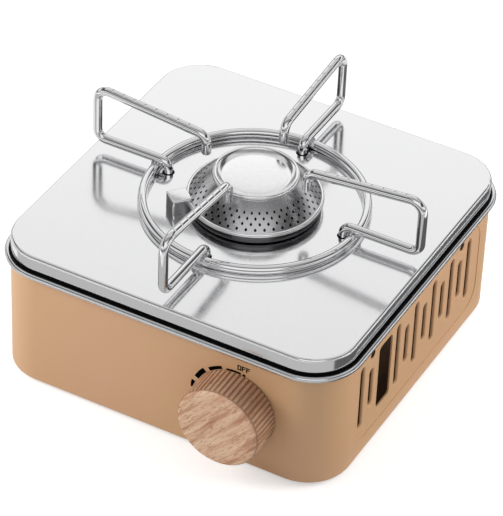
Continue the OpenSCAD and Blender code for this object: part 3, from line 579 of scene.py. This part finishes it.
# Shapes -----------------------------------------------------------------------


def new_piece(name, mesh, *materials):
    piece = bpy.data.objects.new(name, mesh)
    for material in materials:
        mesh.materials.append(material)
    bpy.context.scene.collection.objects.link(piece)
    return piece


def built_piece(name, bm, *materials):
    """Turns the faces outward and makes a piece of them."""
    bmesh.ops.recalc_face_normals(bm, faces=bm.faces)
    mesh = bpy.data.meshes.new(name)
    bm.to_mesh(mesh)
    bm.free()
    return new_piece(name, mesh, *materials)


def frozen_piece(name, holder):
    """Makes a plain piece of what a holder's modifiers give, and removes the holder."""
    bpy.context.view_layer.update()
    graph = bpy.context.evaluated_depsgraph_get()
    mesh = bpy.data.meshes.new_from_object(holder.evaluated_get(graph))
    bpy.data.objects.remove(holder)
    mesh.name = name
    return new_piece(name, mesh)


def turns(steps):
    """The angles of a full turn in equal steps, in radians."""
    return [2 * math.pi * i / steps for i in range(steps)]


def around(r, angle, z):
    """A place in metres, by radius and height in millimetres and an angle in radians."""
    return (r * math.cos(angle) * MM, r * math.sin(angle) * MM, z * MM)


def arc(r, z, radius, start, end, steps):
    """Points of an arc about (r, z), from one angle to the other."""
    return [(r + radius * math.cos(math.radians(start + (end - start) * i / steps)),
             z + radius * math.sin(math.radians(start + (end - start) * i / steps)))
            for i in range(steps + 1)]


def body_outline():
    """Points round the body's outline, with their outward normals."""
    middle = BODY_W / 2 - CORNER_R
    points = []
    for corner, (sx, sy) in enumerate(((1, 1), (-1, 1), (-1, -1), (1, -1))):
        for i in range(CORNER_STEPS + 1):
            angle = math.radians(90 * (corner + i / CORNER_STEPS))
            out = Vector((math.cos(angle), math.sin(angle)))
            points.append((Vector((sx * middle, sy * middle)) + out * CORNER_R, out))
    return points


def swept_profile(name, profile, smooth, finish):
    """Carries a closed profile of (outward, up) points round the body."""
    bm = bmesh.new()
    rings = [[bm.verts.new(((place.x + out.x * r) * MM, (place.y + out.y * r) * MM, z * MM))
              for r, z in profile] for place, out in body_outline()]
    count = len(profile)
    for a, b in zip(rings, rings[1:] + rings[:1]):
        for k in range(count):
            face = bm.faces.new((a[k], b[k], b[(k + 1) % count], a[(k + 1) % count]))
            face.smooth = smooth
    return built_piece(name, bm, finish)


def lathe(name, profile, steps, finish):
    """Turns a closed profile of (radius, height above the plate) round the burner's axis."""
    bm = bmesh.new()
    rings = []
    for r, z in profile:
        angles = turns(steps) if r > 0 else (0.0,)
        rings.append([bm.verts.new(around(r, a, PLATE_Z + z)) for a in angles])
    for low, high in zip(rings, rings[1:] + rings[:1]):
        if len(low) == len(high) == 1:
            continue
        for i in range(steps):
            j = (i + 1) % steps
            corners = (low[i % len(low)], low[j % len(low)],
                       high[j % len(high)], high[i % len(high)])
            bm.faces.new(list(dict.fromkeys(corners))).smooth = True
    return built_piece(name, bm, finish)


def rim(finishes):
    """The rolled bead, and the channel between it and the plate, coloured black as painted shade.
    """
    bead_r = BEAD_D / 2
    centre = BEAD_OUT - bead_r
    profile = [(centre + bead_r * math.cos(a), RIM_Z + bead_r + bead_r * math.sin(a))
               for a in turns(BEAD_SIDES)]
    bead = swept_profile("rim_bead", profile, True, finishes["rim_steel"])
    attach(bead, "base")
    # Its black finish is painted shade in the gap under the plate's edge
    channel = swept_profile("rim_channel", [(r, RIM_Z + z) for r, z in CHANNEL], False,
                            finishes["channel_black"])
    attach(channel, "base")
    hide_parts("rim_frame")


def burner_dish(finishes):
    """The cap: a faintly crowned disc, a shallow groove, a rising dish and a rolled lip."""
    dish = lathe("burner_dish", [*DISH_TOP, *arc(*DISH_LIP), *DISH_UNDER], DISH_SIDES,
                 finishes["dish_steel"])
    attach(dish, "base")
    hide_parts("burner_cap")


def skirt_point(angle, share):
    """A place on the cone, by its angle and how far up the slope it lies, from 0 to 1."""
    (r0, z0), (r1, z1) = SKIRT_LOW, SKIRT_TOP
    belly = SKIRT_BELLY * math.sin(math.pi * share)
    return around(r0 + (r1 - r0) * share + belly, angle,
                  PLATE_Z + z0 + (z1 - z0) * share + belly)


def port_outline(angle, share):
    """Points round one port, narrower at the top, from its lower left on as a cell's corners."""
    points = []
    for n in range(PORT_SIDES):
        turn = -0.75 * math.pi + 2 * math.pi * n / PORT_SIDES
        across, up = math.cos(turn), math.sin(turn)
        narrow = 1.0 - PORT_TAPER * max(0.0, up)
        points.append(skirt_point(angle + PORT_HALF_W * across * narrow / SLOPE_MEAN_R,
                                  share + PORT_HALF_H * up / SLOPE_LENGTH))
    return points


def ported_cone(bm):
    """The skirt's cone: four rows of ports, staggered by half a pitch, between plain bands."""
    columns = PORTS * 2
    step = 2 * math.pi / columns

    def line(share):
        return [bm.verts.new(skirt_point(step * i, share)) for i in range(columns)]

    def band(low, high):
        for i in range(columns):
            j = (i + 1) % columns
            bm.faces.new((low[i], low[j], high[j], high[i]))

    rows = [FIRST_ROW + ROW_PITCH * row for row in range(PORT_ROWS + 1)]
    foot, low = line(0.0), line(rows[0])
    band(foot, low)
    for row in range(PORT_ROWS):
        high = line(rows[row + 1])
        middle = (rows[row] + rows[row + 1]) / 2
        firsts = [2 * k + row % 2 for k in range(PORTS)]
        sides = [bm.verts.new(skirt_point(step * first, middle)) for first in firsts]
        for k, first in enumerate(firsts):
            a, b, c = (low[(first + n) % columns] for n in range(3))
            d, e, f = (high[(first + n) % columns] for n in range(3))
            cell = [a, b, c, sides[(k + 1) % PORTS], f, e, d, sides[k]]
            hole = [bm.verts.new(point) for point in port_outline(step * (first + 1), middle)]
            for n in range(len(cell)):
                bm.faces.new((cell[n], cell[(n + 1) % len(cell)], hole[(2 * n + 2) % PORT_SIDES],
                              hole[2 * n + 1], hole[2 * n]))
        low = high
    for share in PLAIN_BANDS:
        high = line(share)
        band(low, high)
        low = high
    for face in bm.faces:
        face.smooth = True


def perforated_skirt(finishes):
    """The skirt's pressed sheet, black inside as painted shade, with its rolled edge and the ledge
    at its top.
    """
    bm = bmesh.new()
    ported_cone(bm)
    sheet = built_piece("skirt_sheet", bm, finishes["burner_steel"], finishes["burner_soot"])
    wall = sheet.modifiers.new("wall", "SOLIDIFY")
    wall.thickness = SKIRT_WALL * MM
    wall.offset = -1.0
    # The inner side takes the black finish: painted shade that makes the ports look dark
    wall.material_offset = 1
    skirt = frozen_piece("burner_skirt_pressed", sheet)
    skirt.data.set_sharp_from_angle(angle=math.radians(SKIRT_CREASE))
    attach(skirt, "base")
    edge = lathe("skirt_edge", arc(*SKIRT_EDGE), EDGE_SIDES, finishes["dish_steel"])
    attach(edge, "base")
    ledge = lathe("skirt_ledge", SKIRT_LEDGE, DISH_SIDES, finishes["burner_steel"])
    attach(ledge, "base")
    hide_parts("burner_skirt")


def spark_hood(finishes):
    """The hood over the electrode: flat sides, rounded where the sheet is bent."""
    bm = bmesh.new()
    bmesh.ops.create_cube(bm, size=1.0)
    for vert in bm.verts:
        vert.co = Vector((vert.co.x * HOOD_W, vert.co.y * HOOD_W, vert.co.z * HOOD_H))
    edges = [e for e in bm.edges if not all(v.co.z < 0 for v in e.verts)]
    bmesh.ops.bevel(bm, geom=edges, offset=HOOD_ROUND, segments=4, profile=0.6, affect="EDGES")
    turn = Matrix.Rotation(math.radians(HOOD_TURN), 3, "Z")
    for vert in bm.verts:
        vert.co = (turn @ vert.co + Vector((HOOD_X, HOOD_Y, PLATE_Z + HOOD_MIDDLE))) * MM
    # The flat sides stay flat, and the upright ones of them take a darker copy of the steel as
    # painted shade
    for face in bm.faces:
        flat = face.calc_area() > HOOD_FLAT * MM ** 2
        face.smooth = not flat
        face.material_index = int(flat and abs(face.normal.z) < 0.5)
    hood = built_piece("spark_hood", bm, finishes["hood_steel"], finishes["hood_shade"])
    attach(hood, "base")
    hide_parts("spark_shield")


# Wires and welds, by Geometry Nodes -------------------------------------------


def geometry_group(name, numbers):
    """A group that takes a mesh and the named numbers, and the keys to set those by."""
    tree = bpy.data.node_groups.new(name, "GeometryNodeTree")
    tree.interface.new_socket("Geometry", in_out="INPUT", socket_type="NodeSocketGeometry")
    keys = {}
    for label, kind in numbers.items():
        socket = tree.interface.new_socket(label, in_out="INPUT", socket_type=kind)
        keys[label] = socket.identifier
    tree.interface.new_socket("Geometry", in_out="OUTPUT", socket_type="NodeSocketGeometry")
    nodes = Nodes(tree)
    return nodes, nodes.node("NodeGroupInput").outputs, keys


def hand_out(nodes, shape, finish):
    """Ends a group: makes the shape real and smooth, and gives it its finish."""
    real = nodes.result("GeometryNodeRealizeInstances", "Geometry", {"Geometry": shape})
    smooth = nodes.result("GeometryNodeSetShadeSmooth", "Geometry", {"Geometry": real})
    coated = nodes.result("GeometryNodeSetMaterial", "Geometry", {
        "Geometry": smooth, "Material": finish})
    nodes.feed(nodes.node("NodeGroupOutput"), {"Geometry": coated})


def baked(name, seed, group, numbers):
    """Runs a group on a seed mesh and gives the result as a plain mesh piece."""
    nodes, _, keys = group
    holder = new_piece(name + "_seed", seed)
    modifier = holder.modifiers.new(nodes.tree.name, "NODES")
    modifier.node_group = nodes.tree
    for label, value in numbers.items():
        modifier[keys[label]] = value
    return frozen_piece(name, holder)


def wire_group(finish):
    """Sweeps a round wire along every line of the mesh, bent at its corners."""
    group = geometry_group("bent_wire", {"Wire radius": "NodeSocketFloat",
                                         "Bend steps": "NodeSocketInt"})
    nodes, given, _ = group

    def attribute(name):
        return nodes.result("GeometryNodeInputNamedAttribute", "Attribute", {"Name": name},
                            data_type="FLOAT")

    line = nodes.result("GeometryNodeMeshToCurve", "Curve", {"Mesh": given["Geometry"]})
    bent = nodes.result("GeometryNodeFilletCurve", "Curve", {
        "Curve": line, "Count": given["Bend steps"], "Radius": attribute("bend")}, mode="POLY")
    tapered = nodes.result("GeometryNodeSetCurveRadius", "Curve", {
        "Curve": bent, "Radius": attribute("thick")})
    section = nodes.result("GeometryNodeCurvePrimitiveCircle", "Curve", {
        "Resolution": WIRE_SIDES, "Radius": given["Wire radius"]})
    swept = nodes.result("GeometryNodeCurveToMesh", "Mesh", {
        "Curve": tapered, "Profile Curve": section, "Fill Caps": True})
    hand_out(nodes, swept, finish)
    return group


def weld_group(finish):
    """Puts a lumpy bead of weld on every point of the mesh."""
    group = geometry_group("weld_beads", {"Bead size": "NodeSocketFloat",
                                          "Lump height": "NodeSocketFloat"})
    nodes, given, _ = group
    ball = nodes.result("GeometryNodeMeshIcoSphere", "Mesh", {
        "Subdivisions": 4, "Radius": given["Bead size"]})
    noise = nodes.result("ShaderNodeTexNoise", "Fac", {"Scale": 900.0, "Detail": 1.0})
    push = nodes.result("ShaderNodeVectorMath", 0, {
        0: nodes.node("GeometryNodeInputNormal").outputs[0],
        "Scale": nodes.math("MULTIPLY", noise, given["Lump height"])}, operation="SCALE")
    shaped = nodes.result("GeometryNodeSetPosition", "Geometry", {
        "Geometry": ball, "Offset": push})
    turn = nodes.result("FunctionNodeRandomValue", "Value", {
        "Max": (6.28, 6.28, 6.28), "Seed": 7}, data_type="FLOAT_VECTOR")
    scale = nodes.result("FunctionNodeRandomValue", "Value", {
        "Min": (0.8, 0.8, 0.8), "Max": (1.15, 1.0, 1.0), "Seed": 11}, data_type="FLOAT_VECTOR")
    spots = nodes.result("GeometryNodeInstanceOnPoints", "Instances", {
        "Points": given["Geometry"], "Instance": shaped, "Rotation": turn, "Scale": scale})
    hand_out(nodes, spots, finish)
    return group


def wire_end(start, towards):
    """Points of a rounded wire end, from the tip on, as (place, bend, thickness)."""
    along = (Vector(towards) - Vector(start)).normalized()
    return [(Vector(start) + along * depth, 0.0, thick) for depth, thick in WIRE_TIP]


def notch_places():
    return [NOTCH_FROM + NOTCH_PITCH * i for i in range(NOTCHES)]


def arm_line():
    """One arm in its own plane, (out, up): inner leg, top, outer leg, bottom and hook."""
    inner, outer = Vector((ARM_IN, ARM_IN_Z)), Vector((ARM_OUT, ARM_OUT_Z))
    slope = (outer - inner).normalized()
    line = wire_end((ARM_IN, ARM_IN_Z - LEG_LENGTH), inner)
    line.append((inner, INNER_BEND, 1.0))
    line += [(inner + slope * (along + shift), 0.0, 1.0)
             for along in notch_places() for shift in NOTCH_ROWS]
    line.append((outer, OUTER_BEND, 1.0))
    line.append((Vector((ARM_OUT, LOW_WIRE_Z)), LOW_BEND, 1.0))
    line.append((Vector((HOOK_AT, LOW_WIRE_Z)), HOOK_BEND, 1.0))
    line += reversed(wire_end((HOOK_AT, HOOK_END_Z), (HOOK_AT, LOW_WIRE_Z)))
    return line


def cut_notches(mesh):
    """Presses the notches into the top of each arm's sloping wire."""
    rise = math.atan2(ARM_OUT_Z - ARM_IN_Z, ARM_OUT - ARM_IN)
    for vert in mesh.vertices:
        x, y, z = (c / MM for c in vert.co)
        out = max(abs(x), abs(y)) - ARM_IN
        along = out * math.cos(rise) + (z - ARM_IN_Z) * math.sin(rise)
        above = (z - ARM_IN_Z) * math.cos(rise) - out * math.sin(rise)
        if z < LOW_WIRE_Z + ABOVE_LOW_WIRE or above < WIRE_R - NOTCH_DEPTH:
            continue
        if min(abs(along - place) for place in notch_places()) < NOTCH_HALF:
            vert.co.z -= (above - WIRE_R + NOTCH_DEPTH) * MM


def pot_wires(finishes):
    """The ring and the four arms, bent from round wire, with notches along the top of each arm."""
    verts = [around(RING_R, angle, RING_Z) for angle in turns(RING_STEPS)]
    edges = [(i, (i + 1) % RING_STEPS) for i in range(RING_STEPS)]
    bends, thicks = [0.0] * RING_STEPS, [1.0] * RING_STEPS
    for quarter in range(4):
        for i, (place, bend, thick) in enumerate(arm_line()):
            if i:
                edges.append((len(verts) - 1, len(verts)))
            verts.append(around(place.x, math.radians(90 * quarter), place.y))
            bends.append(bend * MM)
            thicks.append(thick)
    seed = bpy.data.meshes.new("pot_wire_lines")
    seed.from_pydata(verts, edges, [])
    for name, values in (("bend", bends), ("thick", thicks)):
        seed.attributes.new(name, "FLOAT", "POINT").data.foreach_set("value", values)
    wires = baked("pot_wires", seed, wire_group(finishes["wire_steel"]),
                  {"Wire radius": WIRE_R * MM, "Bend steps": BEND_STEPS})
    cut_notches(wires.data)
    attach(wires, "pot_support")
    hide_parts("pot_ring", "pot_arm_right", "pot_arm_back", "pot_arm_left",
                "pot_arm_front")


def welds(finishes):
    """Weld beads where each arm crosses the ring, on both sides of the wire."""
    points = []
    for quarter in range(4):
        angle = math.radians(90 * quarter)
        for along, side, z in WELD_SPOTS:
            r = RING_R + along
            points.append(((r * math.cos(angle) - side * math.sin(angle)) * MM,
                           (r * math.sin(angle) + side * math.cos(angle)) * MM, z * MM))
    seed = bpy.data.meshes.new("weld_points")
    seed.from_pydata(points, [], [])
    piece = baked("ring_welds", seed, weld_group(finishes["weld_steel"]),
                  {"Bead size": WELD_R * MM, "Lump height": WELD_LUMP * MM})
    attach(piece, "pot_support")


# Printed scale on the front ---------------------------------------------------


def ink_vert(bm, right, up):
    """A corner of the print, just in front of the body, placed from the knob's axis."""
    return bm.verts.new(((KNOB_X + right) * MM, (FRONT_Y - INK_OUT) * MM, (AXIS_Z + up) * MM))


def print_face(bm, corners):
    """A flat face of ink that looks out to the front."""
    face = bm.faces.new(corners)
    face.normal_update()
    if face.normal.y > 0:
        face.normal_flip()


def print_stroke(bm, points):
    """A ribbon as wide as a letter's stroke, with square ends half its width past the points."""
    for start, end in zip(points, points[1:]):
        along = (Vector(end) - Vector(start)).normalized() * LETTER_STROKE / 2
        across = Vector((-along.y, along.x))
        low, high = Vector(start) - along, Vector(end) + along
        places = (low + across, low - across, high - across, high + across)
        print_face(bm, [ink_vert(bm, *place) for place in places])


def print_dash(bm, start, end, middle, width_0, width_1):
    """A curved dash whose width runs from one value to the other."""
    rows = []
    for i in range(DASH_STEPS + 1):
        angle = math.radians(start + (end - start) * i / DASH_STEPS)
        width = width_0 + (width_1 - width_0) * i / DASH_STEPS
        rows.append([ink_vert(bm, r * math.cos(angle), r * math.sin(angle))
                     for r in (middle - width / 2, middle + width / 2)])
    for a, b in zip(rows, rows[1:]):
        print_face(bm, (a[0], b[0], b[1], a[1]))


def printed_scale():
    """Dashes that grow round the knob, and a dot with the word OFF at its top."""
    bm = bmesh.new()
    for dash in DASHES:
        print_dash(bm, *dash)
    print_face(bm, [ink_vert(bm, DOT_AT[0] + DOT_R * math.cos(a),
                             DOT_AT[1] + DOT_R * math.sin(a)) for a in turns(DOT_SIDES)])
    for letter, start in OFF_MARK:
        for line in LETTERS[letter]:
            print_stroke(bm, [(start + x * LETTER_UNIT[0], LETTER_FOOT + z * LETTER_UNIT[1])
                              for x, z in line])
    mesh = bpy.data.meshes.new("printed_scale")
    bm.to_mesh(mesh)
    bm.free()
    piece = new_piece("printed_scale", mesh, scale_ink())
    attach(piece, "base")


# The whole scene --------------------------------------------------------------


def main():
    scene = bpy.context.scene
    point_camera()
    scene.view_settings.view_transform = "Standard"
    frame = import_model()
    studio()
    floor()
    for card in CARDS:
        reflector(*card)
    finishes = make_finishes()
    dress(frame, finishes)
    rim(finishes)
    burner_dish(finishes)
    perforated_skirt(finishes)
    spark_hood(finishes)
    pot_wires(finishes)
    welds(finishes)
    printed_scale()


main()
